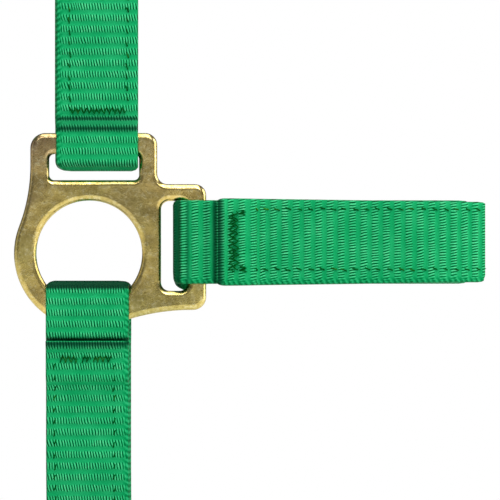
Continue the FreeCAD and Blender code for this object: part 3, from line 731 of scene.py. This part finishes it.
def cheek_straps():
    plate_ease_z = CHEEK_CLEAR_Z + TURN_STEP
    ring_ease_z = UPPER_RING_Z - RING_EASE_S
    plate_end = (step(TURN_SHIFT) + run(CHEEK_CLEAR_Z - CHEEK_TURN_Z) + bend(TURN_R, -180)
                 + run(CHEEK_CLEAR_Z - CHEEK_TURN_Z) + step(-TURN_SHIFT))
    moves = (run(CHEEK_SEAM_Z - plate_ease_z) + plate_end + run(ring_ease_z - plate_ease_z) + ring_turn()
             + run(ring_ease_z - CHEEK_SEAM_Z - 1.0))
    path = walk((-HALF_GAP + LINE_Q, CHEEK_SEAM_Z), 270, moves, SPACING)
    # the fold carries painted shade
    folds = [fold(1, CHEEK_TURN_Z - FOLD_OUT, 2.6, 1.2, 0.4)]
    # grooves with painted shade in them, and a broad band of painted shade with no groove
    creases = [crease(1, 31.1, 0.6, 0.34, 1, 0.95), crease(1, 28.9, 0.65, 0.34, 1, 0.95),
               crease(1, 30.0, 2.0, 0.0, 1, 0.4)]
    outer, inner = plies(plate_ease_z, ring_ease_z)
    dice = random.Random(5)
    store = new_store()
    long_run = ring_ease_z - plate_ease_z
    across_span = (-6.4, 6.6)
    for ply, side in (outer, inner):
        edge_stitches(store, ply, upright, (3.4, long_run - 2.0), (-6.5, 6.9), side, dice)
    for ply, side in (outer, inner):
        for v in (0.75, long_run - 1.6):
            bar_tack(store, ply, upright, v, 0.75, across_span, TACK_PITCH, side, dice)
    for v in (43.0, 47.0):
        for ply, side in (inner, outer):
            bar_tack(store, ply, upright, v, 0.7, across_span, TACK_PITCH, side, dice)
    for name in ("near", "far"):
        strap = placed(webbing(name + "_cheek_webbing", name + "_cheek_strap", path, upright, folds=folds,
                               creases=creases, lips=(0, -1), drift=cheek_drift, shift=0.9), x=CHEEK_X)
        thread = placed(new_object(name + "_cheek_thread", store["verts"], store["faces"], THREAD), x=CHEEK_X)
        if name == "far":
            mirrored(strap)
            mirrored(thread)
        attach(thread, "head_frame")
    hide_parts("cheek_stitching")


# Chin strap. Its folds lie closer to the rings than the CAD solids', because webbing gives.

CHIN_TURN_Z, CHIN_CLEAR_Z, CHIN_RETURN_Z, CHIN_BEND_Z = -9.5, -18.0, -27.3, -45.0
CHIN_LAP_Z = -20.3
CHIN_WIDTH = WEB_WIDTH + 0.3


def chin_drift(points, distance):
    return inner_ply(points, 0.4)


def chin_strap():
    liner_half = (run(CHIN_CLEAR_Z - TURN_STEP - CHIN_RETURN_Z) + step(TURN_SHIFT)
                  + run(CHIN_TURN_Z - CHIN_CLEAR_Z) + bend(TURN_R, -180) + run(CHIN_TURN_Z - CHIN_CLEAR_Z)
                  + step(-TURN_SHIFT) + run(CHIN_CLEAR_Z - TURN_STEP - CHIN_BEND_Z)
                  + bend(HALF_GAP - LINE_Q, 90))
    liner = walk((-HALF_GAP - LINE_Q, CHIN_RETURN_Z), 90, liner_half + liner_half[::-1], SPACING)
    mid_q = LINE_Q + WEB_T + 3 * PLY_GAP
    start_q, ease_z = mid_q + 0.95, CHIN_RETURN_Z - 0.3
    first_drop, last_drop = start_q - mid_q, mid_q - LINE_Q
    overlay_half = (step(first_drop) + run(CHIN_LAP_Z - step_length(first_drop) - ease_z) + step(last_drop)
                    + run(ease_z - step_length(last_drop) - CHIN_BEND_Z) + bend(HALF_GAP + LINE_Q, 90))
    overlay = walk((-HALF_GAP - start_q, CHIN_LAP_Z), 270, overlay_half + overlay_half[::-1], SPACING)
    # the fold carries painted shade
    turned = [fold(1, CHIN_TURN_Z + FOLD_OUT, 1.7, 1.5, 1.0)]
    # a groove with painted shade in it, beside the overlay's lip
    creases = [crease(1, CHIN_LAP_Z + 0.6, 0.5, 0.1, 1, 0.95)]
    placed(webbing("chin_liner_webbing", "chin_strap_liner", liner, upright, CHIN_WIDTH, selvage=1,
                   folds=turned, creases=creases, drift=chin_drift, shift=0.4, body="chin_strap"), x=CHIN_X)
    placed(webbing("chin_overlay_webbing", "chin_strap_overlay", overlay, upright, CHIN_WIDTH, selvage=1,
                   flip=True, lips=(0, -1), shift=0.5, body="chin_strap"), x=CHIN_X)
    inside_run = run(CHIN_CLEAR_Z - TURN_STEP - CHIN_BEND_Z)
    inside = walk((-HALF_GAP + LINE_Q, CHIN_CLEAR_Z - TURN_STEP), 270,
                  inside_run + bend(HALF_GAP - LINE_Q, 180) + inside_run, SPACING)
    dice = random.Random(7)
    store = new_store()
    end, inside_end = overlay[2][-1], inside[2][-1]
    rows = (-7.6, 6.2)
    edge_stitches(store, overlay, upright, (6.2, end - 6.2), rows, -1, dice)
    edge_stitches(store, inside, upright, (5.0, inside_end - 5.0), rows, 1, dice)
    for v in (4.3, end - 4.3):
        for span in ((-6.3, -2.0), (-1.2, 0.6), (1.4, 5.9)):
            bar_tack(store, overlay, upright, v, 0.85, span, 0.6, -1, dice)
    for v in (3.0, inside_end - 3.0):
        bar_tack(store, inside, upright, v, 0.7, (-6.3, 5.8), 0.6, 1, dice)
    thread_piece("chin_thread", store, "chin_strap", "chin_stitching", x=CHIN_X)


# Crown, drawn straight up from the near upper ring's centre

CROWN_BEND_S, HEEL_BAR_S, FRONT_BAR_S = 118.0, 58.0, 78.0
BUCKLE_WIRE_R, TONGUE_R = 1.75, 1.1
TAB_END_S, STRAP_TIP_S = 40.0, 33.0
KEEPER_S, KEEPER_LENGTH, KEEPER_T = 43.0, 6.0, 1.2
EYELETS_S = (92.0, 103.0, 114.0)
BAR_TURN_R = BUCKLE_WIRE_R + CREEP_GAP + WEB_T / 2
OVER_TAB_Q = LINE_Q + WEB_T + PLY_GAP * 2
OVER_BAR_Q = BAR_TURN_R + WEB_T + 0.1
UNDER_BAR_Q = -BAR_TURN_R
SEWN_RING_ROWS = (31.5, 34.0, 36.5)
RING_TAIL = 9.0          # the turned-back end beyond an upper ring
TAB_BAR_RUN, STRAP_BAR_RUN = 2.1, 3.1   # straight parts beside the buckle's heel bar


def tongue_slot(points, distance):
    return points[:, 1] > HEEL_BAR_S - 5.0


def crown_tab():
    shift = BAR_TURN_R - LINE_Q
    ease_s = HEEL_BAR_S - TAB_BAR_RUN - step_length(shift)
    moves = (run(TAB_END_S - RING_EASE_S) + ring_turn() + run(ease_s - RING_EASE_S) + step(shift)
             + run(TAB_BAR_RUN) + bend(BAR_TURN_R, -180) + run(TAB_BAR_RUN) + step(-shift)
             + run(ease_s - TAB_END_S - 1.0))
    path = walk((-HALF_GAP + LINE_Q, TAB_END_S), 270, moves, SPACING)
    placed(webbing("crown_tab_webbing", "crown_buckle_tab", path, upright, lips=(0, -1), hole=tongue_slot,
                   body="crown"), tilt=CROWN_TILT)


def crown_width(points, distance):
    """A rounded tip, then full width."""
    tip_half, tip_length = 4.6, 8.0
    grown = np.sin(np.clip(distance / tip_length, 0, 1) * math.pi / 2)
    return 2 * (tip_half + (WEB_WIDTH / 2 - tip_half) * grown)


def crown_holes(points, distance):
    """The adjusting holes, and the one that the tongue goes through."""
    rise = math.asin((BUCKLE_WIRE_R + TONGUE_R + 0.05) / (FRONT_BAR_S - HEEL_BAR_S))
    out, up = -HALF_GAP - points[:, 0], points[:, 1] - HEEL_BAR_S
    off_tongue = np.abs(out * math.cos(rise) - up * math.sin(rise))
    near = points[:, 0] < 0
    holes = (off_tongue < HOLE_R) & (up > 3.0) & (up < 12.0) & near
    for s in EYELETS_S:
        holes |= (np.abs(points[:, 1] - s) < HOLE_R) & near
    return holes


def crown_strap():
    rise_q = OVER_BAR_Q - OVER_TAB_Q
    tab_s = HEEL_BAR_S - STRAP_BAR_RUN - step_length(rise_q)
    dive_q, dive_r, dive_s = OVER_BAR_Q - UNDER_BAR_Q, 4.2, HEEL_BAR_S + 2.0
    back_q, back_s = LINE_Q - UNDER_BAR_Q, FRONT_BAR_S + 2.5
    moves = (run(tab_s - STRAP_TIP_S) + step(rise_q) + run(dive_s - HEEL_BAR_S + STRAP_BAR_RUN)
             + step(-dive_q, dive_r) + run(back_s - dive_s - step_length(dive_q, dive_r)) + step(back_q)
             + run(CROWN_BEND_S - back_s - step_length(back_q)) + bend(HALF_GAP + LINE_Q, -180)
             + run(CROWN_BEND_S - RING_EASE_S) + ring_turn() + run(RING_TAIL))
    path = walk((-HALF_GAP - OVER_TAB_Q, STRAP_TIP_S), 90, moves, SPACING)
    placed(webbing("crown_webbing", "crown_strap", path, upright, crown_width, lips=(0, -1), hole=crown_holes,
                   body="crown"), tilt=CROWN_TILT)


def keeper():
    """A narrow webbing loop round the tab and the strap's free end, its ends sewn on the inner side."""
    inner_y = -HALF_GAP + LINE_Q + WEB_T / 2 + CREEP_GAP + KEEPER_T / 2
    outer_y = -HALF_GAP - OVER_TAB_Q - WEB_T / 2 - CREEP_GAP - KEEPER_T / 2
    half, corner, seam = WEB_WIDTH / 2 + 0.35 + KEEPER_T / 2, 1.4, 2.0
    across, deep = run(2 * half - 2 * corner), run(inner_y - outer_y - 2 * corner)
    turn = bend(corner, 90)
    moves = (run(half + seam - corner) + turn + deep + turn + across + turn + deep + turn
             + run(half - corner - seam - 0.15))
    path = walk((seam, inner_y), 180, moves, SPACING)
    piece = webbing("crown_keeper_webbing", "crown_keeper", path, lying, KEEPER_LENGTH, selvage=0,
                    thickness=KEEPER_T, body="keeper")
    piece.data.transform(Matrix.Translation((0, 0, KEEPER_S)))
    placed(piece, tilt=CROWN_TILT)


def eyelets():
    """Rolled eyelets: a barrel with a domed flange on each face."""
    half = [(2.2, 0.0), (2.2, 0.9), (2.32, 1.08), (2.6, 1.17), (3.1, 1.18), (3.6, 1.08), (3.9, 0.94),
            (4.0, 0.8), (3.7, 0.74), (2.5, 0.74)]
    profile = half + [(r, -h) for r, h in half[:0:-1]]
    verts, faces, segments = [], [], 40
    for s in EYELETS_S:
        start = len(verts)
        for i in range(segments):
            angle = 2 * math.pi * i / segments
            for r, h in profile:
                verts.append((r * math.cos(angle), -HALF_GAP - LINE_Q - h, s + r * math.sin(angle)))
        for i in range(segments):
            low, high = start + i * len(profile), start + (i + 1) % segments * len(profile)
            for k in range(len(profile)):
                n = (k + 1) % len(profile)
                faces.append((low + k, high + k, high + n, low + n))
    made = placed(new_object("crown_eyelet_rings", verts, faces, STAMPING), tilt=CROWN_TILT)
    tidy_mesh(made)
    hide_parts("crown_eyelets")
    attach(made, "crown")


SEWN_SPAN = (-6.6, 6.6)


def sewn_box(rows, dice):
    """Rows across a turned end, joined down both edges."""
    store = new_store()
    for path, side in plies(rows[0] - 1.0, rows[-1] + 1.0):
        for s in rows:
            bar_tack(store, path, upright, s - rows[0] + 1.0, 0.7, SEWN_SPAN, TACK_PITCH, side, dice)
        edge_stitches(store, path, upright, (1.6, rows[-1] - rows[0] + 1.0), (-7.2, 7.2), side, dice)
    return store


def sewn_far(store):
    """The same thread on the far side."""
    return {"verts": [Vector((v[0], -v[1], v[2])) for v in store["verts"]],
            "faces": [tuple(reversed(face)) for face in store["faces"]]}


def joined_store(first, second):
    offset = len(first["verts"])
    return {"verts": first["verts"] + second["verts"],
            "faces": first["faces"] + [tuple(i + offset for i in face) for face in second["faces"]]}


def crown_thread():
    dice = random.Random(11)
    near = new_store()
    start_s = 30.0
    (outer, outer_side), (inner, inner_side) = plies(start_s, start_s + 21.0)
    bar_tack(near, outer, upright, 1.5, 0.7, SEWN_SPAN, TACK_PITCH, outer_side, dice)
    # The keeper slides over the last row, so that row is thin and lies flat
    for s, radius, proud in ((31.5, TACK_THREAD_R, TACK_PROUD), (33.5, TACK_THREAD_R, TACK_PROUD),
                             (49.5, 0.12, -0.02)):
        bar_tack(near, inner, upright, s - start_s, 0.7, SEWN_SPAN, TACK_PITCH, inner_side, dice, radius, proud)
    far = sewn_far(sewn_box(SEWN_RING_ROWS, dice))
    thread_piece("crown_thread", joined_store(near, far), "crown", "crown_stitching", tilt=CROWN_TILT)


# Throat strap, drawn straight up from the near upper ring's centre

THROAT_BEND_S, SNAP_EYE_S, SNAP_EYE_WIRE_R, SNAP_BOLT_Q = 95.0, 63.0, 1.9, 5.0


def throat_strap():
    turn_r = SNAP_EYE_WIRE_R + CREEP_GAP + WEB_T / 2
    shift = turn_r - LINE_Q
    clear_s = SNAP_EYE_S + SNAP_EYE_WIRE_R + 0.4
    ease_s = clear_s + step_length(shift)
    return_s = ease_s + 8.0
    moves = (run(return_s - ease_s) + step(shift) + run(clear_s - SNAP_EYE_S) + bend(turn_r, -180)
             + run(clear_s - SNAP_EYE_S) + step(-shift) + run(THROAT_BEND_S - ease_s)
             + bend(HALF_GAP + LINE_Q, -180) + run(THROAT_BEND_S - RING_EASE_S) + ring_turn() + run(RING_TAIL))
    path = walk((-HALF_GAP + LINE_Q, return_s), 270, moves, SPACING)
    placed(webbing("throat_webbing", "throat_strap", path, upright, lips=(0, -1), body="throat"),
           tilt=THROAT_TILT)
    dice = random.Random(13)
    near = sewn_box((72.0, 74.0, 76.0), dice)
    far = sewn_far(sewn_box(SEWN_RING_ROWS, dice))
    thread_piece("throat_thread", joined_store(near, far), "throat", "throat_stitching", tilt=THROAT_TILT)


def spring():
    """The snap's coil spring, a fixed helix between the bolt and the snap."""
    y, low_s, length, turns = -HALF_GAP - SNAP_BOLT_Q, 36.4, 11.2, 7
    radius, wire_r, below, above = 1.15, 0.28, 1.0, 13.6
    count = turns * 24
    line = []
    for i in range(count + 1):
        angle = 2 * math.pi * turns * i / count
        line.append((radius * math.cos(angle), y + radius * math.sin(angle), low_s + length * i / count))
    store = new_store()
    add_tube(store, line, wire_r, sides=8)
    made = placed(new_object("snap_spring_coil", store["verts"], store["faces"], STEEL), tilt=THROAT_TILT)
    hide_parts("throat_snap_spring")
    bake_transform(made)


noseband()
cheek_straps()
chin_strap()
crown_tab()
crown_strap()
keeper()
eyelets()
crown_thread()
throat_strap()
spring()


# Rings: welded wire, with a low bead at the weld

def welded_ring(name, node, centre, radius, weld_degrees, body):
    count = 128
    bead, bead_degrees = 0.055, 2.6                 # the weld's swelling, as a share of the wire, and its reach
    neck, neck_degrees, neck_reach = 0.03, 6.5, 2.0  # the slight waist on each side of it
    store, line = new_store(), []
    for i in range(count):
        angle = 2 * math.pi * i / count
        line.append((centre[0] + radius * math.cos(angle), centre[1], centre[2] + radius * math.sin(angle)))

    def wire_at(i):
        gap = (math.degrees(2 * math.pi * i / count) - weld_degrees + 180) % 360 - 180
        waist = neck * math.exp(-((abs(gap) - neck_degrees) / neck_reach) ** 2)
        return WIRE_R * (1 + bead * math.exp(-(gap / bead_degrees) ** 2) - waist)

    add_tube(store, line, wire_at, sides=28, closed=True)
    ring = placed(new_object(name, store["verts"], store["faces"], WIRE))
    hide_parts(node)
    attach(ring, body)


def rings():
    for name, y in (("near", -HALF_GAP), ("far", HALF_GAP)):
        welded_ring(name + "_upper_ring_wire", name + "_upper_ring", (CHEEK_X, y, UPPER_RING_Z), UPPER_RING_R,
                    200, "head_frame")
    low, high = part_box("lead_ring")
    centre = [(a + b) / 2 / MM for a, b in zip(low, high)]
    welded_ring("lead_ring_wire", "lead_ring", centre, LEAD_RING_R, 285, "lead_ring")


rings()


# CAD nodes that stay, with their plating

KEPT_NODES = ((STAMPING, ("near_side_plate", "far_side_plate")),
              (WIRE, ("crown_buckle_frame", "crown_buckle_tongue")),
              (CASTING, ("throat_snap_eye", "throat_snap_body", "throat_snap_bolt")))

for material, nodes in KEPT_NODES:
    for node in nodes:
        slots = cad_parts[node].data.materials
        for number in range(len(slots)):
            slots[number] = material


# Floor, light and camera

def floor():
    half, z = 5.0, cad_low[2] - 0.003
    mesh = bpy.data.meshes.new("floor")
    corners = [(-half, -half, z), (half, -half, z), (half, half, z), (-half, half, z)]
    mesh.from_pydata(corners, [], [(0, 1, 2, 3)])
    made = bpy.data.objects.new("floor", mesh)
    bpy.context.scene.collection.objects.link(made)
    n = Nodes("floor_paper")
    place = n.add("ShaderNodeTexCoord").outputs["Object"]
    grain = n.noise(place, 40.0, 3.0)
    n.link(n.mix(grain, srgb(226, 226, 224), srgb(234, 234, 232)), n.shader.inputs["Base Color"])
    n.shader.inputs["Roughness"].default_value = 0.9
    made.data.materials.append(n.material)


def softbox(name, azimuth, elevation, distance, size, power):
    """An area light at a direction from the plates' middle. Azimuth 0 is the near side, 90 the front (+X)."""
    light = bpy.data.lights.new(name, "AREA")
    light.shape, light.size, light.size_y, light.energy = "RECTANGLE", size[0], size[1], power
    made = bpy.data.objects.new(name, light)
    bpy.context.scene.collection.objects.link(made)
    a, e = math.radians(azimuth), math.radians(elevation)
    aim = Vector((0.03, 0.0, 0.02))
    way = Vector((math.sin(a) * math.cos(e), -math.cos(a) * math.cos(e), math.sin(e)))
    made.location = aim + way * distance
    made.rotation_euler = (-way).to_track_quat("-Z", "Y").to_euler()
    made.visible_camera = False


def top_light(strength, spread_degrees):
    """Broad light from overhead that covers the whole floor evenly."""
    light = bpy.data.lights.new("top_light", "SUN")
    light.energy, light.angle = strength, math.radians(spread_degrees)
    made = bpy.data.objects.new("top_light", light)
    bpy.context.scene.collection.objects.link(made)
    made.rotation_euler = (math.radians(4), 0, 0)


def surroundings():
    """White behind the object, and a softer pale grey as light from all round."""
    world = bpy.data.worlds.new("studio")
    bpy.context.scene.world = world
    world.use_nodes = True
    tree = world.node_tree
    tree.nodes.clear()
    out = tree.nodes.new("ShaderNodeOutputWorld")
    seen, felt = tree.nodes.new("ShaderNodeBackground"), tree.nodes.new("ShaderNodeBackground")
    seen.inputs["Color"].default_value = (1, 1, 1, 1)
    felt.inputs["Color"].default_value = (0.93, 0.96, 1, 1)
    felt.inputs["Strength"].default_value = 0.13
    either, path = tree.nodes.new("ShaderNodeMixShader"), tree.nodes.new("ShaderNodeLightPath")
    tree.links.new(path.outputs["Is Camera Ray"], either.inputs[0])
    tree.links.new(felt.outputs[0], either.inputs[1])
    tree.links.new(seen.outputs[0], either.inputs[2])
    tree.links.new(either.outputs[0], out.inputs[0])


def camera():
    """Square on to the near plate. It clips what is more than shown_depth behind the plate's front, which is
    the halter's far side; other views show it all."""
    frame_width, lens, sensor = 0.11615, 300.0, 36.0
    middle_x, middle_z, plate_front, shown_depth = 0.0374, 0.0008, -0.0435, 0.0042
    data = bpy.data.cameras.new("camera")
    data.lens, data.sensor_width = lens, sensor
    distance = frame_width * lens / sensor
    data.clip_start, data.clip_end = 0.01, distance + shown_depth
    made = bpy.data.objects.new("camera", data)
    made.location = (middle_x, plate_front - distance, middle_z)
    made.rotation_euler = (math.radians(90), 0, 0)
    bpy.context.scene.collection.objects.link(made)
    bpy.context.scene.camera = made


floor()
softbox("key", 20, 50, 0.9, (0.4, 0.4), 3.0)
softbox("front_panel", 6, 3, 1.1, (1.3, 1.1), 0.35)
softbox("front_top", 0, 38, 0.9, (0.9, 0.12), 2.2)
softbox("right_panel", 90, 8, 0.7, (0.5, 0.8), 4.6)
top_light(2.1, 50)
softbox("left_panel", -84, 5, 0.8, (0.5, 0.8), 0.5)
surroundings()
camera()
bpy.context.scene.view_settings.view_transform = "Standard"
